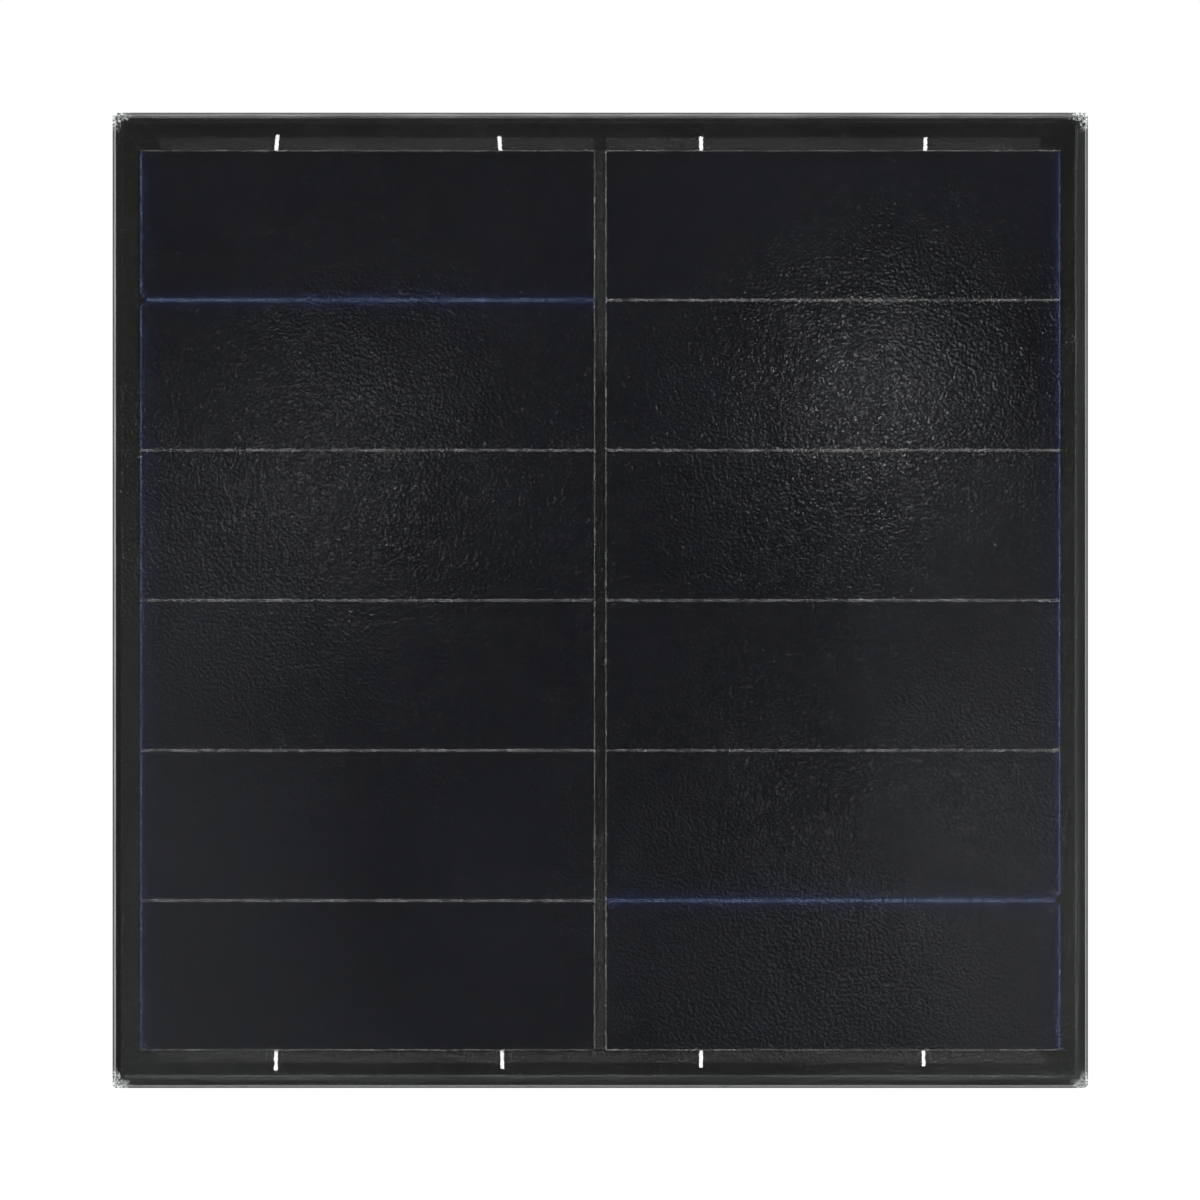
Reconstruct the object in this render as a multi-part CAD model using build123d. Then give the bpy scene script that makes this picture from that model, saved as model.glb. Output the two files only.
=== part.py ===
from build123d import *
import os

os.makedirs("parts", exist_ok=True)

# Frameless square solar panel: a glass laminate with twelve strip cells in two columns,
# and a junction box bonded to its rear face.
# Millimetres. The panel stands upright: +Z up, +X to the right as the glass is looked at,
# glass towards -Y, junction box towards +Y.
# Origin: the centre of the laminate's rear face.

# ---------------------------------------------------------------- driving dimensions
# laminate outline
PANEL_W = 225.0            # X
PANEL_H = 225.0            # Z
GLASS_CORNER_R = 1.0       # corners of the square, barely dulled
GLASS_EDGE_C = 0.9         # ground arris along the front edges
GLASS_EDGE_C_REAR = 0.5    # and along the rear ones

# laminate stack, as planes of Y from the front to the rear
Y_GLASS_FRONT = -4.60
Y_GLASS_REAR = -1.40       # 3.2 mm glass
Y_CELL_FRONT = -0.95       # 0.45 mm clear encapsulant
Y_CELL_REAR = -0.77        # 0.18 mm silicon
Y_TAB_REAR = -0.65         # 0.12 mm tinned tabs, soldered to the cells' rear contacts
Y_INSUL_FRONT = -0.62      # 0.12 mm insulation strips
Y_BUS_REAR = -0.50         # 0.15 mm bus ribbons behind the tabs; front of the leads
Y_LEAD_REAR = -0.38        # 0.12 mm lead ribbons; front of the backsheet
Y_REAR = 0.0               # 0.38 mm backsheet

# the sheets behind the glass are trimmed a little inside its edge, more on the left
# and at the top than on the right and at the bottom
SHEET_X0, SHEET_X1 = -111.2, 112.0
SHEET_Z0, SHEET_Z1 = -111.9, 111.1

# strip cells: a 210 mm wafer, halved across and cut into six
CELL_W = 105.0
CELL_H = 34.5
CELL_PITCH = 34.7          # 0.2 mm between rows
ROWS = 6
COLUMN_INNER_X = 1.25      # half of the gap between the two columns
WAFER_CHAMFER = 1.35       # leg of the wafer's own corner
CELLS_TOP = ROWS * CELL_PITCH / 2 - (CELL_PITCH - CELL_H) / 2   # 104.0

# ribbons
TAB_W = 0.8
TAB_T = Y_TAB_REAR - Y_CELL_REAR
TAB_X_LEFT = (-74.9, -23.1)
TAB_X_RIGHT = (23.3, 75.1)
TAB_BURIED = 22.0          # length soldered behind the end cells
LINK_L = 26.0              # length of each link across a row joint
BUS_Z0, BUS_Z1 = 104.25, 107.0
LEAD_W = 3.0
LEAD_T = 0.12
LEAD_OFF_X = 2.1           # centre of the two upper leads
SLOT_Z = 50.0              # where the leads go through the backsheet
INSUL_W = 12.0
INSUL_UP_Z0 = 53.0
INSUL_DN_Z1 = -54.3

# junction box
BOX_HX, BOX_HZ = 30.0, 59.0        # half size over the walls
WALL = 2.4
BEAD_T = 0.8                       # silicone under the base
FLOOR_Y = BEAD_T + 2.0             # 2.8, top of the 2 mm floor
RIM_Y = 18.0
FLANGE = 3.0                       # foot around the walls
LID_Y0, LID_Y1 = 18.6, 20.6        # lid plate
SKIRT_GAP = 0.35
SKIRT_T = 1.85
SKIRT_Y0 = 15.0
LID_TOP_Z = 59.4
HINGE_Y, HINGE_Z = 18.3, 62.2
KNUCKLE_R = 2.2
PIN_R = 1.2
PIN_CLEAR = 0.07
PIN_HALF = 24.6

# rails, diodes and terminals in the box
RAIL_Y0, RAIL_Y1 = 4.8, 5.6
DIODE_R, DIODE_L, DIODE_WIRE_R = 2.6, 7.4, 0.6
DIODE_Z = 12.0
TERM_X, TERM_Z = 18.0, -34.0

# cable glands in the bottom wall
GLAND_X = 17.0
GLAND_Y = 8.3
GLAND_THREAD_R = 4.0
GLAND_BORE_R = 2.5
SEAL_R, SEAL_BORE_R = 3.15, 2.25
GLAND_AF = 11.0


# ---------------------------------------------------------------- helpers
def block(x0, x1, y0, y1, z0, z1):
    """A box between two corners."""
    return Pos((x0 + x1) / 2, (y0 + y1) / 2, (z0 + z1) / 2) * Box(x1 - x0, y1 - y0, z1 - z0)


def plate(points, y0, y1):
    """A prism along Y whose outline is given in X and Z."""
    face = make_face(Polyline([(x, y0, z) for x, z in points], close=True))
    return extrude(face, amount=y1 - y0, dir=(0, 1, 0))


def rounded(x0, x1, z0, z1, y0, y1, r):
    """A box whose edges along Y are rounded."""
    body = block(x0, x1, y0, y1, z0, z1)
    return fillet(body.edges().filter_by(Axis.Y), r)


def rod_x(r, x0, x1, y, z):
    return Pos((x0 + x1) / 2, y, z) * Rot(0, 90, 0) * Cylinder(r, x1 - x0)


def rod_y(r, y0, y1, x, z):
    return Pos(x, (y0 + y1) / 2, z) * Rot(90, 0, 0) * Cylinder(r, y1 - y0)


def rod_z(r, z0, z1, x, y):
    return Pos(x, y, (z0 + z1) / 2) * Cylinder(r, z1 - z0)


def hex_z(af, z0, z1, x, y):
    """A hexagonal prism along Z with two flats facing Y."""
    face = Pos(x, y, z0) * RegularPolygon(af / 2, 6, major_radius=False)
    return extrude(face, amount=z1 - z0, dir=(0, 0, 1))


def save(shape, name):
    export_step(shape, f"parts/{name}.step")


# ---------------------------------------------------------------- glass
glass = block(-PANEL_W / 2, PANEL_W / 2, Y_GLASS_FRONT, Y_GLASS_REAR, -PANEL_H / 2, PANEL_H / 2)
glass = fillet(glass.edges().filter_by(Axis.Y), GLASS_CORNER_R)
glass = chamfer(glass.faces().sort_by(Axis.Y)[0].edges(), GLASS_EDGE_C)
glass = chamfer(glass.faces().sort_by(Axis.Y)[-1].edges(), GLASS_EDGE_C_REAR)
save(glass, "front_glass")

# clear sheet between the glass and the cells
front_encapsulant = block(SHEET_X0, SHEET_X1, Y_GLASS_REAR, Y_CELL_FRONT, SHEET_Z0, SHEET_Z1)
save(front_encapsulant, "front_encapsulant")

# ---------------------------------------------------------------- cells
embedded = []              # what the rear encapsulant is moulded round


def cell(side, row):
    """One strip. side is -1 for the left column; row counts from the top."""
    z1 = CELLS_TOP - (row - 1) * CELL_PITCH
    z0 = z1 - CELL_H
    inner, outer = side * COLUMN_INNER_X, side * (COLUMN_INNER_X + CELL_W)
    c = WAFER_CHAMFER
    low = [(inner, z0), (outer, z0)]
    high = [(outer, z1), (inner, z1)]
    # the wafer's own corners lie where two rows of the left column meet below row 1,
    # and in the right column below row 5
    if (side, row) in ((-1, 1), (1, 5)):
        low = [(inner, z0), (outer - side * c, z0), (outer, z0 + c)]
    if (side, row) in ((-1, 2), (1, 6)):
        high = [(outer, z1 - c), (outer - side * c, z1), (inner, z1)]
    return plate(low + high, Y_CELL_FRONT, Y_CELL_REAR)


for side, word in ((-1, "left"), (1, "right")):
    for row in range(1, ROWS + 1):
        piece = cell(side, row)
        save(piece, f"cell_{word}_{row}")
        embedded.append(piece)


# ---------------------------------------------------------------- tabs and links
def ribbon(x, z0, z1):
    """A flat link along Z."""
    return block(x - TAB_W / 2, x + TAB_W / 2, Y_CELL_REAR, Y_TAB_REAR, z0, z1)


def bent_tab(x, z_in, z_edge, z_end, lean):
    """A tab that runs straight behind its cell and then leans a little where it crosses the bus."""
    h = TAB_W / 2
    points = [(x - h, z_in), (x + h, z_in), (x + h, z_edge), (x + h + lean, z_end),
              (x - h + lean, z_end), (x - h, z_edge)]
    return plate(points, Y_CELL_REAR, Y_TAB_REAR)


top, end = CELLS_TOP, CELLS_TOP - TAB_BURIED
tabs = {
    "tabs_top_left": [bent_tab(TAB_X_LEFT[0], end, top, 107.6, 0.30),
                      bent_tab(TAB_X_LEFT[1], end, top, 107.3, -0.22)],
    "tabs_top_right": [bent_tab(TAB_X_RIGHT[0], end, top, 107.2, 0.0),
                       bent_tab(TAB_X_RIGHT[1], end, top, 107.0, 0.08)],
    "tabs_bottom_left": [bent_tab(TAB_X_LEFT[0], -end, -top, -108.7, -0.10),
                         bent_tab(TAB_X_LEFT[1] + 0.4, -end, -top, -108.3, 0.06)],
    "tabs_bottom_right": [bent_tab(TAB_X_RIGHT[0], -end, -top, -108.0, 0.0),
                          bent_tab(TAB_X_RIGHT[1] - 0.4, -end, -top, -107.7, 0.10)],
}
for name, pieces in tabs.items():
    save(Compound(children=pieces), name)
    embedded += pieces

for word, xs in (("left", TAB_X_LEFT), ("right", TAB_X_RIGHT)):
    pieces = []
    for joint in range(1, ROWS):
        z = CELLS_TOP + (CELL_PITCH - CELL_H) / 2 - joint * CELL_PITCH
        # the first and last rows also carry the end tabs, so a link stops short of them
        up = 10.0 if joint == 1 else LINK_L / 2
        down = 10.0 if joint == ROWS - 1 else LINK_L / 2
        for x in xs:
            pieces.append(ribbon(x, z - down, z + up))
    save(Compound(children=pieces), f"cell_links_{word}")
    embedded += pieces

# ---------------------------------------------------------------- bus ribbons
buses = {
    "bus_top_left": block(-101.8, -1.4, Y_TAB_REAR, Y_BUS_REAR, BUS_Z0, BUS_Z1),
    "bus_top_right": block(1.4, 101.7, Y_TAB_REAR, Y_BUS_REAR, BUS_Z0, BUS_Z1),
    "bus_bottom": block(-102.4, 102.5, Y_TAB_REAR, Y_BUS_REAR, -BUS_Z1, -BUS_Z0),
}
for name, piece in buses.items():
    save(piece, name)
    embedded.append(piece)

# insulation strips that keep the leads off the cells
insulation = {
    "insulation_strip_upper": block(-INSUL_W / 2, INSUL_W / 2, Y_INSUL_FRONT, Y_BUS_REAR, INSUL_UP_Z0, 104.0),
    "insulation_strip_lower": block(-INSUL_W / 2, INSUL_W / 2, Y_INSUL_FRONT, Y_BUS_REAR, -104.0, INSUL_DN_Z1),
}
for name, piece in insulation.items():
    save(piece, name)
    embedded.append(piece)


# leads: along the laminate, out through the backsheet, and onto a rail in the box
def lead(x, up):
    """up is 1 for a lead that comes down from the top, -1 for one that comes up from the bottom."""
    w, t = LEAD_W / 2, LEAD_T
    zs = up * SLOT_Z
    far = up * BUS_Z1
    run = block(x - w, x + w, Y_BUS_REAR, Y_LEAD_REAR, min(zs, far), max(zs, far))
    z_a, z_b = sorted((zs, zs + up * t))
    riser = block(x - w, x + w, Y_BUS_REAR, RAIL_Y1 + t, z_a, z_b)
    z_c, z_d = sorted((zs + up * t, zs - up * 7.0))
    tail = block(x - w, x + w, RAIL_Y1, RAIL_Y1 + t, z_c, z_d)
    return run + riser + tail


leads = {
    "lead_negative": lead(-LEAD_OFF_X, 1),
    "lead_positive": lead(LEAD_OFF_X, 1),
    "lead_centre_tap": lead(0.0, -1),
}
for name, piece in leads.items():
    save(piece, name)

# ---------------------------------------------------------------- rear encapsulant and backsheet
rear_encapsulant = block(SHEET_X0, SHEET_X1, Y_CELL_FRONT, Y_LEAD_REAR, SHEET_Z0, SHEET_Z1)
lead_runs = [
    block(x - LEAD_W / 2, x + LEAD_W / 2, Y_BUS_REAR, Y_LEAD_REAR, min(a, b), max(a, b))
    for x, a, b in ((-LEAD_OFF_X, SLOT_Z, BUS_Z1), (LEAD_OFF_X, SLOT_Z, BUS_Z1), (0.0, -SLOT_Z, -BUS_Z1))
]
rear_encapsulant = rear_encapsulant.cut(*embedded, *lead_runs)
save(rear_encapsulant, "rear_encapsulant")

backsheet = block(SHEET_X0, SHEET_X1, Y_LEAD_REAR, Y_REAR, SHEET_Z0, SHEET_Z1)
backsheet -= block(-4.2, 4.2, Y_LEAD_REAR - 1, Y_REAR + 1, SLOT_Z - 0.7, SLOT_Z + 0.9)
backsheet -= block(-2.2, 2.2, Y_LEAD_REAR - 1, Y_REAR + 1, -SLOT_Z - 0.9, -SLOT_Z + 0.7)
save(backsheet, "backsheet")

# ---------------------------------------------------------------- junction box base
fx, fz = BOX_HX + FLANGE, BOX_HZ + FLANGE
bead = rounded(-fx - 0.9, fx + 0.9, -fz - 0.9, fz + 0.9, Y_REAR, BEAD_T, 4.9)
bead -= rounded(-25.5, 25.5, -54.6, 54.6, Y_REAR - 1, BEAD_T + 1, 2.0)
save(bead, "silicone_bead")

base = rounded(-fx, fx, -fz, fz, BEAD_T, FLOOR_Y, 4.0)
base += rounded(-BOX_HX, BOX_HX, -BOX_HZ, BOX_HZ, BEAD_T, RIM_Y, 3.0)
base -= rounded(-BOX_HX + WALL, BOX_HX - WALL, -BOX_HZ + WALL, BOX_HZ - WALL, FLOOR_Y, RIM_Y + 1, 1.2)
# windows for the leads
base -= block(-6.0, 6.0, 0, FLOOR_Y + 1, 46.0, 53.6)
base -= block(-4.0, 4.0, 0, FLOOR_Y + 1, -53.6, -46.0)
# hinge knuckles on the top wall
for s in (-1, 1):
    x0, x1 = sorted((s * 14.0, s * 24.0))
    base += block(x0, x1, 14.6, 18.2, BOX_HZ - 0.6, HINGE_Z)
    base += rod_x(KNUCKLE_R, x0, x1, HINGE_Y, HINGE_Z)
    base -= rod_x(PIN_R, x0 - 0.01, x1 + 0.01, HINGE_Y, HINGE_Z)
# a sloped web under each knuckle arm
for s in (-1, 1):
    x0, x1 = sorted((s * 14.0, s * 24.0))
    web = make_face(Polyline([(x0, 10.4, BOX_HZ - 0.4), (x0, 14.7, BOX_HZ - 0.4), (x0, 14.7, HINGE_Z - 0.3)], close=True))
    base += extrude(web, amount=x1 - x0, dir=(1, 0, 0))
# posts with staked heads that carry the rails
POSTS = {
    "negative": [(-18.0, 38.0), (-18.0, -16.0)],
    "positive": [(18.0, 38.0), (18.0, -16.0)],
    "centre": [(0.0, -34.0), (0.0, 22.0)],
}
for spots in POSTS.values():
    for x, z in spots:
        base += rod_y(2.2, FLOOR_Y - 0.2, RAIL_Y0, x, z)
        base += rod_y(1.0, FLOOR_Y, 6.3, x, z)
        base += rod_y(1.7, RAIL_Y1, 6.3, x, z)
# gland holes in the bottom wall, and the vent hole in the right one
for s in (-1, 1):
    base -= rod_z(GLAND_THREAD_R, -BOX_HZ - 1, -BOX_HZ + WALL + 1, s * GLAND_X, GLAND_Y)
VENT_Y, VENT_Z, VENT_R = 10.0, -30.0, 2.5
base -= rod_x(VENT_R, BOX_HX - WALL - 1, BOX_HX + 1, VENT_Y, VENT_Z)
# low detents that the lid's skirt clicks over
for s in (-1, 1):
    base += block(s * 24 - 3, s * 24 + 3, 16.0, 16.9, -BOX_HZ - 0.15, -BOX_HZ + 0.5)
save(base, "junction_box_base")

# ---------------------------------------------------------------- lid
inner_x, inner_z = BOX_HX + SKIRT_GAP, BOX_HZ + SKIRT_GAP
outer_x, outer_z = inner_x + SKIRT_T, inner_z + SKIRT_T
lid = block(-outer_x, outer_x, SKIRT_Y0, LID_Y1, -outer_z, LID_TOP_Z)
along_y = lid.edges().filter_by(Axis.Y)
lid = fillet(along_y.sort_by(Axis.Z)[:2], 5.2)
lid = fillet(lid.edges().filter_by(Axis.Y).sort_by(Axis.Z)[-2:], 1.2)
lid = fillet(lid.faces().sort_by(Axis.Y)[-1].edges(), 0.9)
pocket = block(-inner_x, inner_x, SKIRT_Y0 - 1, LID_Y0, -inner_z, LID_TOP_Z + 5)
pocket = fillet(pocket.edges().filter_by(Axis.Y).sort_by(Axis.Z)[:2], 3.35)
lid -= pocket
# gasket groove over the rim of the base
gx, gz = BOX_HX - 1.2, BOX_HZ - 1.2
ring = rounded(-gx - 0.8, gx + 0.8, -gz - 0.8, gz + 0.8, LID_Y0 - 0.35, LID_Y0 + 0.8, 2.6)
ring -= rounded(-gx + 0.8, gx - 0.8, -gz + 0.8, gz - 0.8, LID_Y0 - 1.0, LID_Y0 + 2.0, 1.0)
lid -= ring
# hinge barrel between the base's knuckles
lid += block(-13.6, 13.6, LID_Y0, LID_Y1 - 0.15, LID_TOP_Z - 0.5, HINGE_Z)
lid += rod_x(KNUCKLE_R, -13.6, 13.6, HINGE_Y, HINGE_Z)
lid -= rod_x(PIN_R + PIN_CLEAR, -14, 14, HINGE_Y, HINGE_Z)
# finger tab at the lower edge, and two stiffening ribs across the lid
lid += rounded(-8.0, 8.0, -outer_z - 3.0, -outer_z + 0.6, SKIRT_Y0, SKIRT_Y0 + 2.0, 0.55)
# raised field with three shallow grip grooves near the lower edge
lid += rounded(-24.0, 24.0, -36.0, 50.0, LID_Y1 - 0.2, LID_Y1 + 0.5, 3.0)
for z in (-44.0, -47.5, -51.0):
    lid += rounded(-14.0, 14.0, z - 0.6, z + 0.6, LID_Y1 - 0.2, LID_Y1 + 0.5, 0.55)
save(lid, "junction_box_lid")
save(ring, "lid_gasket")

save(rod_x(PIN_R, -PIN_HALF, PIN_HALF, HINGE_Y, HINGE_Z), "hinge_pin")

# ---------------------------------------------------------------- rails
def rail(points, holes, screw=None):
    piece = plate(points, RAIL_Y0, RAIL_Y1)
    if screw:
        piece += rod_y(2.6, RAIL_Y0 - 1.2, RAIL_Y0 + 0.1, *screw)
        piece -= rod_y(1.55, RAIL_Y0 - 2, RAIL_Y1 + 1, *screw)
    for x, z in holes:
        piece -= rod_y(1.05, RAIL_Y0 - 1, RAIL_Y1 + 1, x, z)
    return piece


def mirrored(points):
    return [(-x, z) for x, z in points]


side_rail = [(0.7, 48.6), (0.7, 43.0), (13.6, 43.0), (13.6, -39.0), (22.4, -39.0), (22.4, 48.6)]
rails = {
    "rail_positive": rail(side_rail, POSTS["positive"], (TERM_X, TERM_Z)),
    "rail_negative": rail(mirrored(side_rail), POSTS["negative"], (-TERM_X, TERM_Z)),
    "rail_centre": rail([(-4.6, -48.6), (4.6, -48.6), (4.6, 28.0), (-4.6, 28.0)], POSTS["centre"]),
}
for name, piece in rails.items():
    save(piece, name)

# ---------------------------------------------------------------- bypass diodes
wires = []
for s, word in ((-1, "left"), (1, "right")):
    mid = s * 9.1
    y = RAIL_Y1 + DIODE_WIRE_R
    x0, x1 = mid - DIODE_L / 2, mid + DIODE_L / 2
    body = rod_x(DIODE_R, x0, x1, y, DIODE_Z)
    body = fillet(body.edges().filter_by(GeomType.CIRCLE), 0.35)
    save(body, f"bypass_diode_{word}")
    wires += [rod_x(DIODE_WIRE_R, x0 - 5.2, x0, y, DIODE_Z), rod_x(DIODE_WIRE_R, x1, x1 + 5.2 - 1.6, y, DIODE_Z)] if s > 0 else \
             [rod_x(DIODE_WIRE_R, x0 - 5.2 + 1.6, x0, y, DIODE_Z), rod_x(DIODE_WIRE_R, x1, x1 + 3.6, y, DIODE_Z)]
save(Compound(children=wires), "diode_wires")

# ---------------------------------------------------------------- cable terminals
clamps, screws = [], []
for s in (-1, 1):
    x, z = s * TERM_X, TERM_Z
    clamp = rounded(x - 3.5, x + 3.5, z - 3.5, z + 3.5, RAIL_Y1, RAIL_Y1 + 1.1, 0.5)
    clamp -= rod_y(1.65, RAIL_Y1 - 1, RAIL_Y1 + 3, x, z)
    clamps.append(clamp)
    head_y = RAIL_Y1 + 1.1
    screw = rod_y(1.5, RAIL_Y0 - 1.6, head_y + 0.1, x, z)
    head = rod_y(2.8, head_y, head_y + 2.1, x, z)
    head = fillet(head.faces().sort_by(Axis.Y)[-1].edges(), 0.6)
    head -= block(x - 1.9, x + 1.9, head_y + 0.9, head_y + 3, z - 0.4, z + 0.4)
    head -= block(x - 0.4, x + 0.4, head_y + 0.9, head_y + 3, z - 1.9, z + 1.9)
    screws.append(screw + head)
save(Compound(children=clamps), "terminal_clamps")
save(Compound(children=screws), "terminal_screws")

# ---------------------------------------------------------------- vent plug
vent = rod_x(VENT_R, BOX_HX - WALL - 0.6, BOX_HX + 0.1, VENT_Y, VENT_Z)
cap = rod_x(4.0, BOX_HX, BOX_HX + 1.6, VENT_Y, VENT_Z)
cap = fillet(cap.faces().sort_by(Axis.X)[-1].edges(), 0.7)
vent += cap
for a in range(0, 360, 60):
    slot = Pos(BOX_HX + 1.3, VENT_Y, VENT_Z) * Rot(a, 0, 0) * Pos(0, 0, 2.0) * Box(1.0, 0.6, 1.3)
    vent -= slot
save(vent, "vent_plug")

# ---------------------------------------------------------------- cable glands
for s, word in ((-1, "left"), (1, "right")):
    x, y = s * GLAND_X, GLAND_Y
    wall_z = -BOX_HZ
    inside = wall_z + WALL
    flange_z = wall_z - 3.4
    body_end = flange_z - 8.2
    # threaded stub through the wall, hexagon outside it, then the outer thread
    body = rod_z(GLAND_THREAD_R, wall_z, inside + 4.6, x, y)
    hexagon = hex_z(GLAND_AF, flange_z, wall_z, x, y)
    hexagon &= rod_z(6.1, flange_z, wall_z, x, y)
    body += hexagon
    body += rod_z(GLAND_THREAD_R, body_end, flange_z + 0.1, x, y)
    body -= rod_z(GLAND_BORE_R, body_end - 1, inside + 6, x, y)
    body -= rod_z(SEAL_R, body_end - 1, flange_z - 1.4, x, y)
    save(body, f"gland_body_{word}")
    # lock nut inside the box
    lock = hex_z(GLAND_AF, inside, inside + 3.0, x, y)
    lock &= rod_z(6.1, inside, inside + 3.0, x, y)
    lock -= rod_z(GLAND_THREAD_R, inside - 1, inside + 4, x, y)
    save(lock, f"gland_locknut_{word}")
    # rubber sleeve that grips the cable
    seal = rod_z(SEAL_R, body_end - 1.0, flange_z - 1.4, x, y)
    seal = chamfer(seal.faces().sort_by(Axis.Z)[0].edges(), 0.5)
    seal -= rod_z(SEAL_BORE_R, body_end - 2, flange_z, x, y)
    save(seal, f"gland_seal_{word}")
    # cap nut, hexagonal below, domed at its mouth
    nut_top, nut_end = flange_z - 0.3, body_end - 3.2
    nut = hex_z(GLAND_AF, nut_end + 2.6, nut_top, x, y)
    nut &= rod_z(6.1, nut_end, nut_top, x, y)
    dome = Pos(x, y, nut_end + 1.3) * Cone(3.9, 5.5, 2.6)
    nut += dome
    nut -= rod_z(GLAND_THREAD_R + 0.08, body_end - 1.4, nut_top + 1, x, y)
    nut -= rod_z(2.7, nut_end - 1, nut_top + 1, x, y)
    save(nut, f"gland_nut_{word}")
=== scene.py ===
import math

import bmesh
import bpy
import numpy as np
from mathutils import Matrix, Vector


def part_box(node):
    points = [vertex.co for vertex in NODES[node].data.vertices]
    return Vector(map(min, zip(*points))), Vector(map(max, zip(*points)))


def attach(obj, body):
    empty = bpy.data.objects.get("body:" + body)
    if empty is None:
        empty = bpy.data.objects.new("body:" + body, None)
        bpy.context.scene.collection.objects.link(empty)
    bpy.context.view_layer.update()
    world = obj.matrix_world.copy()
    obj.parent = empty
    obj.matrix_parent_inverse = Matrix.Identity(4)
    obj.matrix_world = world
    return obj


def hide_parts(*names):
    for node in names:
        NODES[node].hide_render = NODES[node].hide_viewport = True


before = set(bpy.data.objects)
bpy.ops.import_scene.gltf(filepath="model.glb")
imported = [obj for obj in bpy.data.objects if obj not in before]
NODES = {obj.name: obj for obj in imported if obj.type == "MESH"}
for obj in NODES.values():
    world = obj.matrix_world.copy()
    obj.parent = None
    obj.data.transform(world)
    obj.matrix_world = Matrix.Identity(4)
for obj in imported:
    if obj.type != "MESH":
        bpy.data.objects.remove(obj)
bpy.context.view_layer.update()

MM = 0.001


# ============================================================ node graph helper
class V:
    """A value in a shader graph; + - * / and the functions below make Math nodes."""

    def __init__(self, nt, sock):
        self.nt, self.s = nt, sock

    def _op(self, op, *others, clamp=False):
        n = self.nt.nodes.new("ShaderNodeMath")
        n.operation = op
        n.use_clamp = clamp
        self.nt.links.new(self.s, n.inputs[0])
        for i, o in enumerate(others, 1):
            if isinstance(o, V):
                self.nt.links.new(o.s, n.inputs[i])
            else:
                n.inputs[i].default_value = o
        return V(self.nt, n.outputs[0])

    def __add__(self, o): return self._op("ADD", o)
    def __radd__(self, o): return self._op("ADD", o)
    def __sub__(self, o): return self._op("SUBTRACT", o)
    def __mul__(self, o): return self._op("MULTIPLY", o)
    def __rmul__(self, o): return self._op("MULTIPLY", o)
    def __truediv__(self, o): return self._op("DIVIDE", o)
    def __rsub__(self, o): return (self * -1.0) + o
    def __neg__(self): return self * -1.0
    def abs(self): return self._op("ABSOLUTE")
    def min(self, o): return self._op("MINIMUM", o)
    def max(self, o): return self._op("MAXIMUM", o)
    def fract(self): return self._op("FRACT")
    def pow(self, o): return self._op("POWER", o)
    def less(self, o): return self._op("LESS_THAN", o)
    def more(self, o): return self._op("GREATER_THAN", o)
    def clamp(self): return self._op("ADD", 0.0, clamp=True)

    def ramp(self, a, b, lo=0.0, hi=1.0, smooth=True):
        n = self.nt.nodes.new("ShaderNodeMapRange")
        n.interpolation_type = "SMOOTHSTEP" if smooth else "LINEAR"
        self.nt.links.new(self.s, n.inputs["Value"])
        n.inputs["From Min"].default_value = a
        n.inputs["From Max"].default_value = b
        n.inputs["To Min"].default_value = lo
        n.inputs["To Max"].default_value = hi
        return V(self.nt, n.outputs["Result"])


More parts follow.
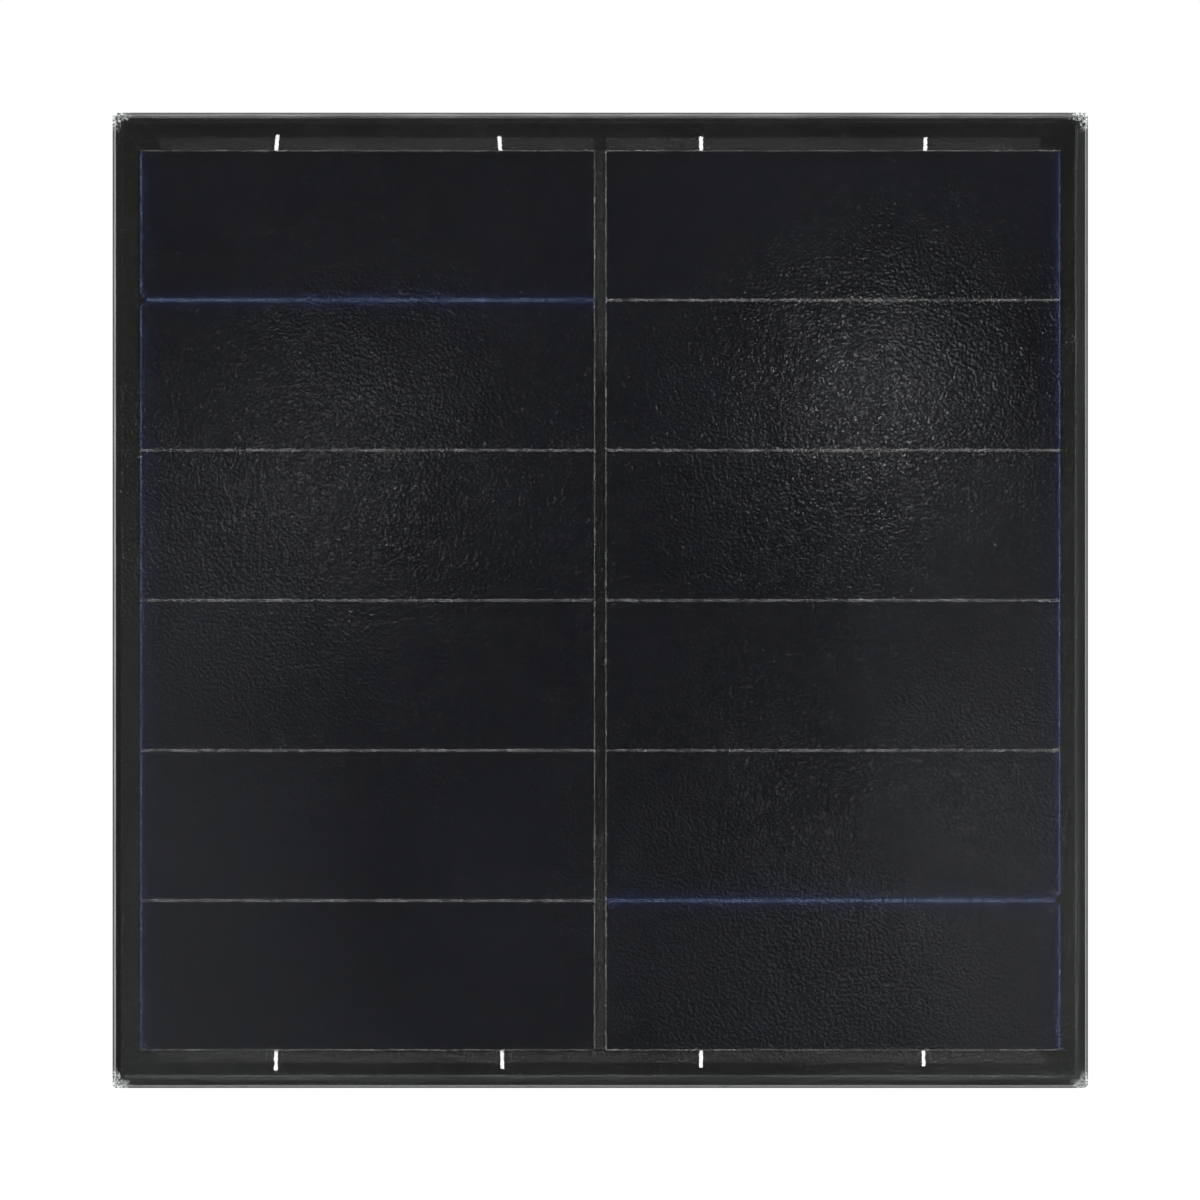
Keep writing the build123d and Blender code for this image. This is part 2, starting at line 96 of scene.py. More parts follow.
class Mat:
    """A Principled material with short calls for the usual patterns, in object coordinates."""

    def __init__(self, name, **plain):
        self.m = bpy.data.materials.new(name)
        self.m.use_nodes = True
        self.nt = self.m.node_tree
        self.nt.nodes.clear()
        self.out = self.nt.nodes.new("ShaderNodeOutputMaterial")
        self.p = self.nt.nodes.new("ShaderNodeBsdfPrincipled")
        self.nt.links.new(self.p.outputs[0], self.out.inputs["Surface"])
        tc = self.nt.nodes.new("ShaderNodeTexCoord")
        self.co = tc.outputs["Object"]
        sep = self.nt.nodes.new("ShaderNodeSeparateXYZ")
        self.nt.links.new(self.co, sep.inputs[0])
        self.x, self.y, self.z = (V(self.nt, sep.outputs[i]) for i in range(3))
        for k, v in plain.items():
            self.set(k, v)

    NAMES = dict(base="Base Color", rough="Roughness", metal="Metallic", spec="Specular IOR Level",
                 ior="IOR", trans="Transmission Weight", alpha="Alpha", coat="Coat Weight",
                 coat_rough="Coat Roughness", coat_ior="Coat IOR", sheen="Sheen Weight", normal="Normal",
                 emit="Emission Strength")

    def set(self, key, value):
        sock = self.p.inputs[self.NAMES[key]]
        if isinstance(value, V):
            self.nt.links.new(value.s, sock)
        elif isinstance(value, (tuple, list)):
            sock.default_value = (*value, 1.0) if len(value) == 3 else value
        elif hasattr(value, "node"):
            self.nt.links.new(value, sock)
        else:
            sock.default_value = value
        return self

    def vec(self, scale=(1, 1, 1), rot=(0, 0, 0), loc=(0, 0, 0)):
        n = self.nt.nodes.new("ShaderNodeMapping")
        self.nt.links.new(self.co, n.inputs[0])
        n.inputs["Scale"].default_value = scale
        n.inputs["Rotation"].default_value = rot
        n.inputs["Location"].default_value = loc
        return n.outputs[0]

    def noise(self, scale, detail=3.0, rough=0.5, distort=0.0, vec=None):
        n = self.nt.nodes.new("ShaderNodeTexNoise")
        self.nt.links.new(vec if vec is not None else self.co, n.inputs["Vector"])
        n.inputs["Scale"].default_value = scale
        n.inputs["Detail"].default_value = detail
        n.inputs["Roughness"].default_value = rough
        n.inputs["Distortion"].default_value = distort
        return V(self.nt, n.outputs["Fac"])

    def voronoi(self, scale, feature="F1", vec=None, rand=1.0, out="Distance"):
        n = self.nt.nodes.new("ShaderNodeTexVoronoi")
        n.feature = feature
        self.nt.links.new(vec if vec is not None else self.co, n.inputs["Vector"])
        n.inputs["Scale"].default_value = scale
        n.inputs["Randomness"].default_value = rand
        return V(self.nt, n.outputs[out])

    def mix(self, fac, a, b):
        """A colour between a and b."""
        n = self.nt.nodes.new("ShaderNodeMix")
        n.data_type = "RGBA"
        if isinstance(fac, V):
            self.nt.links.new(fac.s, n.inputs[0])
        else:
            n.inputs[0].default_value = fac
        for i, c in ((6, a), (7, b)):
            if isinstance(c, (tuple, list)):
                n.inputs[i].default_value = (*c, 1.0)
            else:
                self.nt.links.new(c.s if isinstance(c, V) else c, n.inputs[i])
        return n.outputs[2]

    def bump(self, height, strength=1.0, distance=0.0001, coat=False):
        n = self.nt.nodes.new("ShaderNodeBump")
        n.inputs["Strength"].default_value = strength
        n.inputs["Distance"].default_value = distance
        self.nt.links.new(height.s, n.inputs["Height"])
        self.nt.links.new(n.outputs[0], self.p.inputs["Normal"])
        if coat:
            self.nt.links.new(n.outputs[0], self.p.inputs["Coat Normal"])
        return self

    def pack(self, *parts):
        """A vector from three values."""
        n = self.nt.nodes.new("ShaderNodeCombineXYZ")
        for i, v in enumerate(parts):
            if isinstance(v, V):
                self.nt.links.new(v.s, n.inputs[i])
            else:
                n.inputs[i].default_value = v
        return n.outputs[0]

    def rim(self):
        """How far a point of the panel is from its nearest edge, how far along that edge it is,
        and 1 on the right and bottom edges but 0 on the left and top ones."""
        ax, az = self.x.abs(), self.z.abs()
        return (112.5 * MM - ax.max(az)), ax.min(az), (self.x - self.z).more(0.0)

    def dots(self, scale, size, density, seed=0.0):
        """Sparse round specks, 0 or 1: one in each Voronoi cell whose random colour passes density."""
        v = self.nt.nodes.new("ShaderNodeTexVoronoi")
        v.feature = "F1"
        self.nt.links.new(self.vec(loc=(seed, seed * 1.7, seed * 0.6)), v.inputs["Vector"])
        v.inputs["Scale"].default_value = scale
        sep = self.nt.nodes.new("ShaderNodeSeparateColor")
        self.nt.links.new(v.outputs["Color"], sep.inputs[0])
        pick = V(self.nt, sep.outputs[0]).less(density)
        return V(self.nt, v.outputs["Distance"]).ramp(size, size * 0.4) * pick


def dress(node, mat, bevel=0.0, segments=2, angle=35):
    """Gives a CAD node its material, and softens its sharp edges for the render."""
    o = NODES[node]
    o.data.materials.clear()
    o.data.materials.append(mat.m)
    if bevel:
        b = o.modifiers.new("soft_edges", "BEVEL")
        b.width = bevel * MM
        b.segments = segments
        b.limit_method = "ANGLE"
        b.angle_limit = math.radians(angle)
        b.harden_normals = False
    return o


# ============================================================ materials
# ---- the glass: clear, low iron, a rolled matt surface in front with a coating that cuts its reflection
glass = Mat("rolled_glass", base=(0.975, 0.985, 0.985), ior=1.12, trans=1.0, spec=0.5, coat=1.0, coat_rough=0.13,
            coat_ior=1.5)
patch = glass.noise(22, 3.0, 0.6)
glass.set("rough", patch.ramp(0.3, 0.7, 0.278, 0.30))
# the rolled grain: short wormy hills about a millimetre across, finer pits between them
hills = glass.noise(1400, 0.6, 0.4, 0.25)
ridges = glass.noise(2000, 0.0, 0.5)
seeds = glass.dots(430, 0.085, 0.30, 1.0).max(glass.dots(300, 0.060, 0.35, 4.0))
off, along, low_side = glass.rim()
# the grain dies out beside the ground edge, further in on the right and below
flat = (off - low_side * 1.35 * MM).ramp(1.0 * MM, 1.9 * MM)
glass.bump((hills * 0.80 + ridges * 0.30 + seeds * 0.16) * flat, 1.0, 0.00025, coat=True)

# ---- the ground arris and edge of the glass. Its colour is mostly painted light: a painted lit band on the top and left edges, painted shade on the right and below, painted dark lines along the rim and inside the lit band, and a painted bright line on the right and below
edge = Mat("ground_glass_edge", ior=1.5, trans=0.04, spec=0.12)
swirl = edge.noise(900, 4.0, 0.6)
off, along, low_side = edge.rim()
# fine lines along the edge, left by the grinding belt
streak = edge.noise(1.0, 3.0, 0.6, vec=edge.pack(off * 7000.0, along * 26.0, low_side * 9.0))
coarse = edge.noise(1.0, 2.0, 0.5, vec=edge.pack(off * 1500.0, along * 60.0, low_side * 5.0 + 3.0))
lines = (streak * 0.65 + coarse * 0.35).ramp(0.36, 0.64)
painted_lit_band = edge.mix(lines, (0.050, 0.052, 0.051), (0.165, 0.168, 0.166))
# painted light: the left edge has only a narrow lit band, brighter than the top one's
on_left = (edge.x * -1.0 - edge.z.abs()).more(0.0)
painted_lit_band = edge.mix(on_left, painted_lit_band, edge.mix(lines, (0.14, 0.142, 0.141), (0.27, 0.273, 0.27)))
# painted shade: a dark line at the very rim of the arris
painted_dark_rim = (off + streak * 0.08 * MM).ramp(0.42 * MM, 0.32 * MM)
painted_lit_side = edge.mix(painted_dark_rim, painted_lit_band, (0.012, 0.013, 0.013))
# painted shade: a black line inside the painted lit band, and on the left dark over the rear of the edge
inner = off.ramp(1.13 * MM, 1.22 * MM).max(on_left * off.ramp(0.80 * MM, 0.88 * MM)).max(on_left * edge.y.more(-2.4 * MM))
painted_lit_side = edge.mix(inner, painted_lit_side, (0.004, 0.004, 0.004))
# painted shade: the right and bottom edges are dark, streaked by the grinding lines
painted_shade_band = edge.mix(lines, (0.008, 0.008, 0.009), (0.026, 0.027, 0.028))
# painted highlight: a thin bright line along the arris on the right and below
painted_bright_line = ((off - 0.54 * MM).abs() + streak * 0.05 * MM).ramp(0.20 * MM, 0.09 * MM) * edge.y.less(-2.4 * MM)
painted_shade_side = edge.mix(painted_bright_line, painted_shade_band, (0.30, 0.302, 0.30))
painted_shade_side = edge.mix((off + streak * 0.06 * MM).ramp(0.40 * MM, 0.32 * MM), painted_shade_side, (0.012, 0.013, 0.013))
# the edge's colour: the painted lit side on the top and left, the painted shaded side on the right and below
edge_tone_painted_light = edge.mix(low_side, painted_lit_side, painted_shade_side)
# small shells broken out, most of them near the corners
near_corner = along.ramp(104.0 * MM, 111.0 * MM, 0.05, 0.40)
chips = edge.noise(2100, 3.0, 0.7)
edge_tone_painted_light = edge.mix((chips + near_corner).ramp(0.86, 0.98), edge_tone_painted_light, (0.72, 0.74, 0.73))
edge.set("base", edge_tone_painted_light)
edge.set("rough", swirl.ramp(0.3, 0.7, 0.30, 0.50))
edge.bump(swirl * 0.6 + chips * 0.4, 0.25, 0.00008)

# ---- where the glass meets the encapsulant there is no optical surface
seam = Mat("bonded_face", base=(0.9, 0.9, 0.9), rough=0.5, alpha=0.0, spec=0.0)
seam.m.use_nodes = True

# a very faint haze that varies at random, plus a painted soft reflection: the veil is heavier low down at both sides
# and towards the bottom
clear = Mat("clear_encapsulant", base=(0.85, 0.86, 0.88), rough=0.45, spec=0.0)
haze = clear.noise(160, 3.0, 0.6)
# painted reflection: a brighter veil low down at both sides
painted_reflection_low_sides = clear.x.abs().ramp(40 * MM, 105 * MM) * clear.z.ramp(60 * MM, -20 * MM)
clear.set("alpha", haze.ramp(0.3, 0.8, 0.0004, 0.0016) + painted_reflection_low_sides * 0.0032 + clear.z.ramp(0.0, -110 * MM) * 0.0012)

# ---- silicon cells: black, with a blue margin at the wafer's own edges
CELL_IN, CELL_OUT, HALF_H, PITCH = 1.25 * MM, 106.25 * MM, 104.1 * MM, 34.7 * MM


def cell_material():
    m = Mat("silicon_cell", rough=0.42, spec=0.0)
    left = m.x.less(0.0)
    ax = m.x.abs()
    d_out = CELL_OUT - ax
    d_in = ax - CELL_IN
    row = (m.z + HALF_H) / PITCH
    near = row.fract()
    d_row = near.min(1.0 - near) * PITCH - 0.1 * MM
    # the joint that is the wafer's own edge: +2 pitches on the left, -2 on the right
    own = (m.z - 2 * PITCH).abs() * left + (m.z + 2 * PITCH).abs() * (1.0 - left) - 0.1 * MM
    # the cut corners: distance to a 45 degree line
    corner = ((own + 0.1 * MM) + d_out) * 0.7071 - (1.35 - 0.1) * MM * 0.7071
    rim = d_out.min(own).min(corner)
    # tone of the coating over the strip
    cloud = m.noise(26, 4.0, 0.6)
    fine = m.noise(900, 3.0, 0.6)
    tone = cloud.ramp(0.3, 0.7, 0.80, 1.20) * fine.ramp(0.3, 0.7, 0.85, 1.15)
    base = m.mix(tone.ramp(0.6, 1.4, smooth=False), (0.0036, 0.0037, 0.0053), (0.0062, 0.0064, 0.0090))
    wander = m.noise(210, 3.0, 0.6).ramp(0.25, 0.75, 0.55, 1.45)
    glow = (rim * wander).ramp(3.2 * MM, 0.0)
    base = m.mix(glow * 0.62, base, (0.0062, 0.0090, 0.0250))
    near_rim = (rim * wander).ramp(0.9 * MM, 0.1 * MM)
    base = m.mix(near_rim * 0.65, base, (0.012, 0.018, 0.050))
    # thin bright lines: bluish where the coating thins at the wafer's edge, grey at a laser cut
    breaks = m.noise(620, 2.0, 0.7).ramp(0.32, 0.62, 0.25, 1.0)
    blue_line = rim.ramp(0.20 * MM, 0.08 * MM) * breaks
    base = m.mix(blue_line, base, (0.105, 0.128, 0.205))
    cut = d_row.min(d_in).ramp(0.19 * MM, 0.07 * MM) * m.noise(520, 2.0, 0.7).ramp(0.30, 0.66, 0.25, 1.0)
    cut = cut * own.ramp(0.25 * MM, 0.45 * MM)
    base = m.mix(cut, base, (0.24, 0.24, 0.24))
    specks = m.dots(520, 0.055, 0.035) .max(m.dots(300, 0.030, 0.04, 3.0))
    base = m.mix(specks, base, (0.55, 0.55, 0.55))
    m.set("base", base)
    m.set("rough", fine.ramp(0.3, 0.7, 0.36, 0.50))
    m.bump(fine, 0.15, 0.00002)
    return m


silicon = cell_material()


def black_film(name, dark, light, scale, rough, bump, specks=0.05, spec=0.25, banded=False):
    m = Mat(name, spec=spec)
    a = m.noise(scale, 4.0, 0.6)
    b = m.noise(30, 3.0, 0.55)
    base = m.mix((a * 0.6 + b * 0.4).ramp(0.35, 0.65), dark, light)
    if specks:
        base = m.mix(m.dots(420, 0.06, specks).max(m.dots(260, 0.035, specks, 5.0)), base, (0.5, 0.5, 0.49))
    if banded:
        off, along, low_side = m.rim()
        streak = m.noise(1.0, 3.0, 0.6, vec=m.pack(off * 4200.0, along * 22.0, low_side * 7.0))
        smooth_band = m.mix(streak.ramp(0.35, 0.65), (0.016, 0.0165, 0.017), (0.040, 0.041, 0.042))
        base = m.mix(off.ramp(2.62 * MM, 2.50 * MM) * low_side, base, smooth_band)
        line = (off - 2.66 * MM).abs().ramp(0.13 * MM, 0.05 * MM) * streak.ramp(0.3, 0.6, 0.35, 1.0)
        base = m.mix(line * low_side, base, (0.080, 0.081, 0.082))
        line = (off - 1.95 * MM).abs().ramp(0.11 * MM, 0.04 * MM) * streak.ramp(0.3, 0.6, 0.35, 1.0)
        base = m.mix(line * (1.0 - low_side) * 0.6, base, (0.040, 0.041, 0.042))
    m.set("base", base)
    m.set("rough", a.ramp(0.3, 0.7, rough - 0.06, rough + 0.08))
    m.bump(a, bump, 0.00004)
    return m


margin = black_film("black_encapsulant", (0.0050, 0.0055, 0.0050), (0.0125, 0.0132, 0.0124), 700, 0.5, 0.3, spec=0.0, banded=True)
backing = black_film("backsheet_film", (0.0055, 0.0055, 0.0060), (0.0150, 0.0150, 0.0160), 1100, 0.36, 0.60, specks=0, spec=0.30)
bus_black = black_film("black_coated_ribbon", (0.015, 0.0155, 0.0150), (0.028, 0.0285, 0.0278), 1200, 0.42, 0.3, spec=0.0)
strip_black = black_film("insulation_film", (0.013, 0.0135, 0.013), (0.022, 0.0225, 0.0215), 900, 0.42, 0.25, spec=0.0)

# ---- tinned copper, with a painted reflection: a near-white colour and no metal, in place of the bright sheen that tin reflects
tin = Mat("tinned_copper", metal=0.0)
t1, t2 = tin.noise(1400, 4.0, 0.65), tin.noise(260, 3.0, 0.5)
tin.set("base", tin.mix((t1 * 0.5 + t2 * 0.5).ramp(0.35, 0.65), (0.92, 0.92, 0.91), (0.99, 0.99, 0.985)))
tin.set("rough", t1.ramp(0.3, 0.7, 0.32, 0.52))
tin.bump(t1 * 0.5 + t2 * 0.5, 0.35, 0.00004)

lead_tin = Mat("tinned_lead", metal=0.9)
l1 = lead_tin.noise(700, 4.0, 0.6, vec=lead_tin.vec(scale=(1, 1, 0.15)))
l2 = lead_tin.noise(140, 3.0, 0.6)
lead_tin.set("base", lead_tin.mix((l1 * 0.5 + l2 * 0.5).ramp(0.35, 0.65), (0.34, 0.34, 0.33), (0.56, 0.56, 0.54)))
lead_tin.set("rough", (l1 * 0.6 + l2 * 0.4).ramp(0.35, 0.65, 0.28, 0.48))
lead_tin.bump(l1, 0.2, 0.00003)


def moulded(name, dark, light, rough=0.48, grain_scale=1500, bump=0.30):
    """Moulded plastic with a spark-eroded grain."""
    m = Mat(name, spec=0.32)
    g = m.noise(grain_scale, 3.0, 0.6)
    c = m.noise(38, 4.0, 0.6)
    # worn a little paler in broad patches, with a fine fleck from the grain
    m.set("base", m.mix((c * 0.45 + g * 0.55).ramp(0.36, 0.64), dark, light))
    m.set("rough", (g * 0.5 + c * 0.5).ramp(0.35, 0.65, rough - 0.09, rough + 0.10))
    m.bump(g, bump, 0.00014)
    return m


shell = moulded("moulded_box", (0.0065, 0.0065, 0.0070), (0.0190, 0.0190, 0.0200), rough=0.44, grain_scale=1300)
nylon = moulded("moulded_gland", (0.0080, 0.0080, 0.0085), (0.0180, 0.0180, 0.0190), rough=0.34, grain_scale=900, bump=0.10)
rubber = moulded("gasket_rubber", (0.016, 0.016, 0.016), (0.030, 0.030, 0.030), rough=0.66, grain_scale=700, bump=0.25)
silicone = moulded("silicone_sealant", (0.010, 0.010, 0.010), (0.018, 0.018, 0.018), rough=0.34, grain_scale=240, bump=0.4)
epoxy = moulded("diode_epoxy", (0.014, 0.014, 0.015), (0.026, 0.026, 0.027), rough=0.42, grain_scale=1200, bump=0.2)


def metal(name, dark, light, rough, stretch=(1, 1, 1)):
    m = Mat(name, metal=1.0)
    s = m.noise(900, 4.0, 0.6, vec=m.vec(scale=stretch))
    w = m.noise(120, 3.0, 0.5)
    m.set("base", m.mix((s * 0.6 + w * 0.4).ramp(0.3, 0.7), dark, light))
    m.set("rough", (s * 0.5 + w * 0.5).ramp(0.3, 0.7, rough - 0.06, rough + 0.10))
    m.bump(s, 0.15, 0.00003)
    return m


wire_steel = metal("hinge_steel", (0.40, 0.40, 0.39), (0.58, 0.58, 0.57), 0.26, stretch=(0.1, 1, 1))
plated = metal("terminal_steel", (0.38, 0.38, 0.35), (0.58, 0.58, 0.54), 0.28)

# ============================================================ the laminate
for n in NODES:
    if n.startswith("cell_") and "links" not in n:
        dress(n, silicon)
for n in ("bus_top_left", "bus_top_right", "bus_bottom"):
    dress(n, bus_black)
for n in ("insulation_strip_upper", "insulation_strip_lower"):
    dress(n, strip_black)
for n in ("cell_links_left", "cell_links_right"):
    dress(n, bus_black)
for n in ("tabs_top_left", "tabs_top_right", "tabs_bottom_left", "tabs_bottom_right"):
    dress(n, tin)
for n in ("lead_negative", "lead_positive", "lead_centre_tap", "diode_wires",
          "rail_negative", "rail_positive", "rail_centre"):
    dress(n, lead_tin)
dress("silicone_bead", silicone, 0.25, 3)
dress("junction_box_base", shell, 0.18)
dress("junction_box_lid", shell, 0.18)
dress("lid_gasket", rubber)
dress("hinge_pin", wire_steel, 0.2)
dress("bypass_diode_left", epoxy)
dress("bypass_diode_right", epoxy)
dress("terminal_clamps", plated, 0.12)
dress("terminal_screws", plated, 0.08)
dress("vent_plug", nylon, 0.08)
for side in ("left", "right"):
    dress(f"gland_body_{side}", nylon, 0.12)
    dress(f"gland_locknut_{side}", nylon, 0.15)
    dress(f"gland_nut_{side}", nylon, 0.15)
    dress(f"gland_seal_{side}", rubber)


def field(n, size, low, high, seed):
    """A repeatable random surface of n by n points over size millimetres: a band of wavelengths
    from low to high millimetres, with mean 0 and deviation 1."""
    rng = np.random.default_rng(seed)
    f = np.fft.rfft2(rng.standard_normal((n, n)))
    k = np.hypot(np.fft.fftfreq(n, size / n)[:, None], np.fft.rfftfreq(n, size / n)[None, :])
    band = np.exp(-((k * low) ** 2)) * (1 - np.exp(-((k * high) ** 2)))
    out = np.fft.irfft2(f * band, s=(n, n))
    return (out - out.mean()) / out.std()


def glass_piece():
    """The front glass with its rolled relief, ground edges and flat rear, as one closed mesh.
    It reaches to the cells, because the clear sheet behind it has the same index."""
    (x0, y0, z0), (x1, y1, z1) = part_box("front_glass")
    half = (x1 - x0) / 2
    arris, rear_arris, corner = 0.9 * MM, 0.5 * MM, 1.0 * MM
    n = 290
    face = half - arris
    axis = np.linspace(-face, face, n)
    gx, gz = np.meshgrid(axis, axis, indexing="ij")
    size = 2 * face / MM
    leather = field(n, size, 2.3, 4.4, 11)
    swell = field(n, size, 5.0, 16.0, 23)
    relief = leather * 0.009 + swell * 0.008
    # the sheet is smooth along its border: a wide band on the right and below, a narrow one on the left
    mx, mz = gx / MM, gz / MM

    def step(v, a, b):
        t = np.clip((v - a) / (b - a), 0, 1)
        return t * t * (3 - 2 * t)

    keep = step(mx, 109.9, 109.4) * step(-mz, 109.3, 108.8) * step(-mx, 111.2, 110.6) * step(mz, 111.3, 110.9)
    relief = relief * keep
    relief -= relief.max()
    verts = np.stack([gx, np.full_like(gx, y0) - relief * MM, gz], axis=-1).reshape(-1, 3)
    idx = np.arange(n * n).reshape(n, n)
    quads = np.stack([idx[:-1, :-1], idx[1:, :-1], idx[1:, 1:], idx[:-1, 1:]], axis=-1).reshape(-1, 4)
    # the border of the grid, once round
    loop = np.concatenate([idx[:-1, 0], idx[-1, :-1], idx[:0:-1, -1], idx[0, :0:-1]])
    unit = verts[loop][:, [0, 2]] / face
    all_verts, faces, kinds = [verts], [tuple(q) for q in quads.tolist()], [0] * len(quads)

    def ring(inset, y):
        h = half - inset
        p = unit * h
        r = max(corner - inset, 0.02 * MM)
        c = h - r
        over = (np.abs(p) > c).all(axis=1)
        q = np.abs(p[over]) - c
        q = q / np.maximum(np.linalg.norm(q, axis=1, keepdims=True), 1e-12) * r + c
        p[over] = np.sign(p[over]) * q
        return np.stack([p[:, 0], np.full(len(p), y), p[:, 1]], axis=1)

    steps = []
    # front arris: a slightly rounded chamfer
    for t in (0.25, 0.5, 0.75, 1.0):
        bulge = 0.10 * MM * math.sin(math.pi * t)
        steps.append((arris * (1 - t) - bulge * 0.5, y0 + arris * t - bulge * 0.5, 1))
    steps.append((0.0, (y0 + y1) / 2, 1))
    steps.append((0.0, y1 - rear_arris, 1))
    for t in (0.5, 1.0):
        steps.append((rear_arris * t, y1 - rear_arris * (1 - t), 1))
    start, prev, count = n * n, loop, len(loop)
    for inset, y, kind in steps:
        all_verts.append(ring(max(inset, 0.0), y))
        now = np.arange(start, start + count)
        start += count
        nxt = np.roll(now, -1)
        pn = np.roll(prev, -1)
        faces += [tuple(q) for q in np.stack([prev, pn, nxt, now], axis=1).tolist()]
        kinds += [kind] * count
        prev = now
    # the flat rear, in rings towards the middle and one last face
    for inset in (1.70 * MM, 8 * MM, 40 * MM):
        all_verts.append(ring(inset, y1))
        now = np.arange(start, start + count)
        start += count
        nxt, pn = np.roll(now, -1), np.roll(prev, -1)
        faces += [tuple(q) for q in np.stack([prev, pn, nxt, now], axis=1).tolist()]
        kinds += [1 if inset < 2 * MM else 2] * count
        prev = now
    faces.append(tuple(prev.tolist()))
    kinds.append(2)
    mesh = bpy.data.meshes.new("front_glass_sheet")
    mesh.from_pydata(np.concatenate(all_verts).tolist(), [], faces)
    mesh.materials.append(glass.m)
    mesh.materials.append(edge.m)
    mesh.materials.append(seam.m)
    mesh.polygons.foreach_set("material_index", kinds)
    mesh.polygons.foreach_set("use_smooth", [k != 2 for k in kinds])
    mesh.update()
    mesh.validate()
    bm = bmesh.new()
    bm.from_mesh(mesh)
    bmesh.ops.recalc_face_normals(bm, faces=bm.faces)
    # keep the arris crisp against the front and the side
    for e in bm.edges:
        if len(e.link_faces) == 2:
            a, b = e.link_faces
            if a.material_index != b.material_index or a.normal.angle(b.normal, 0) > math.radians(30):
                e.smooth = False
    bm.to_mesh(mesh)
    bm.free()
    o = bpy.data.objects.new("front_glass_sheet", mesh)
    bpy.context.scene.collection.objects.link(o)
    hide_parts("front_glass")
    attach(o, "panel")
    o.visible_shadow = False
    return o


glass_obj = glass_piece()


def clear_sheet():
    """The clear encapsulant: a sheet with a soft, slightly wavy squeezed-out rim."""
    (x0, y0, z0), (x1, y1, z1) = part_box("front_encapsulant")
    bm = bmesh.new()
    m = 160
    pts = []
    for i in range(4):
        for k in range(m):
            t = k / m
            pts.append([(x0 + (x1 - x0) * t, z0), (x1, z0 + (z1 - z0) * t),
                        (x1 - (x1 - x0) * t, z1), (x0, z1 - (z1 - z0) * t)][i])
    cx, cz = (x0 + x1) / 2, (z0 + z1) / 2
    loops = []
    levels = [(0.25, y0 + 0.02 * MM), (0.05, y0 + 0.08 * MM), (0.0, (y0 + y1) / 2), (0.05, y1 - 0.08 * MM), (0.25, y1 - 0.02 * MM)]
    for inset, y in levels:
        loop = []
        for j, (x, z) in enumerate(pts):
            w = (0.10 + 0.05 * math.sin(j * 0.37) + 0.04 * math.sin(j * 0.113 + 1.3)) * MM
            d = inset * MM + w
            sx = max(-1, min(1, (x - cx) / ((x1 - x0) / 2)))
            sz = max(-1, min(1, (z - cz) / ((z1 - z0) / 2)))
            loop.append(bm.verts.new((x - (d if sx > 0.999 else -d if sx < -0.999 else 0), y,
                                      z - (d if sz > 0.999 else -d if sz < -0.999 else 0))))
        loops.append(loop)
    for a, b in zip(loops, loops[1:]):
        for j in range(len(a)):
            k = (j + 1) % len(a)
            bm.faces.new((a[j], a[k], b[k], b[j]))
    bm.faces.new(loops[0])
    bm.faces.new(list(reversed(loops[-1])))
    bmesh.ops.recalc_face_normals(bm, faces=bm.faces)
    mesh = bpy.data.meshes.new("clear_encapsulant_sheet")
    bm.to_mesh(mesh)
    bm.free()
    mesh.materials.append(clear.m)
    o = bpy.data.objects.new("clear_encapsulant_sheet", mesh)
    bpy.context.scene.collection.objects.link(o)
    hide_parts("front_encapsulant")
    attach(o, "panel")
    o.visible_shadow = False
    return o


clear_obj = clear_sheet()


def black_sheet():
    """The black encapsulant behind the cells: a sheet whose border stands up round the stack,
    where it was squeezed out towards the glass."""
    (x0, y0, z0), (x1, y1, z1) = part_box("rear_encapsulant")
    low, high, rear = -0.51 * MM, y0 + 0.015 * MM, y1 - 0.004 * MM
    m = 220
    cx, cz, hx, hz = (x0 + x1) / 2, (z0 + z1) / 2, (x1 - x0) / 2, (z1 - z0) / 2
    t = np.arange(m) / m * 2 - 1
    unit = np.concatenate([np.stack([t, -np.ones(m)], 1), np.stack([np.ones(m), t], 1),
                           np.stack([-t, np.ones(m)], 1), np.stack([-np.ones(m), -t], 1)])
    rng = np.random.default_rng(31)
    f = np.fft.rfft(rng.standard_normal(len(unit)))
    k = np.arange(len(f))
    wave = np.fft.irfft(f * np.exp(-(k / 60.0) ** 2) * (k > 3), n=len(unit))
    wave = wave / np.abs(wave).max()
    levels = [(0.30, rear, 0.3), (0.05, rear, 0.8), (0.0, (rear + high) / 2, 1.0), (0.08, high + 0.06 * MM, 1.0),
              (0.30, high, 0.8), (1.1, high + 0.01 * MM, 0.9), (1.5, high + 0.10 * MM, 1.0), (2.2, low - 0.04 * MM, 0.8), (2.8, low, 0.4),
              (6.0, low, 0.0), (40.0, low, 0.0)]
    verts, faces, start, prev = [], [], 0, None
    count = len(unit)
    for inset, y, wavy in levels:
        d = inset * MM + (0.14 + 0.13 * wave * wavy) * MM * (1 if inset < 3 else 0)
        verts.append(np.stack([cx + unit[:, 0] * (hx - d), np.full(count, y), cz + unit[:, 1] * (hz - d)], 1))
        now = np.arange(start, start + count)
        start += count
        if prev is not None:
            faces += np.stack([prev, np.roll(prev, -1), np.roll(now, -1), now], 1).tolist()
        prev = now
    faces.append(prev.tolist())
    faces.append(list(range(count))[::-1])
    mesh = bpy.data.meshes.new("rear_encapsulant_sheet")
    mesh.from_pydata(np.concatenate(verts).tolist(), [], faces)
    mesh.update()
    bm = bmesh.new()
    bm.from_mesh(mesh)
    bmesh.ops.recalc_face_normals(bm, faces=bm.faces)
    bm.to_mesh(mesh)
    bm.free()
    mesh.polygons.foreach_set("use_smooth", [len(p.vertices) == 4 for p in mesh.polygons])
    mesh.materials.append(margin.m)
    o = bpy.data.objects.new("rear_encapsulant_sheet", mesh)
    bpy.context.scene.collection.objects.link(o)
    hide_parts("rear_encapsulant")
    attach(o, "panel")
    return o


black_obj = black_sheet()


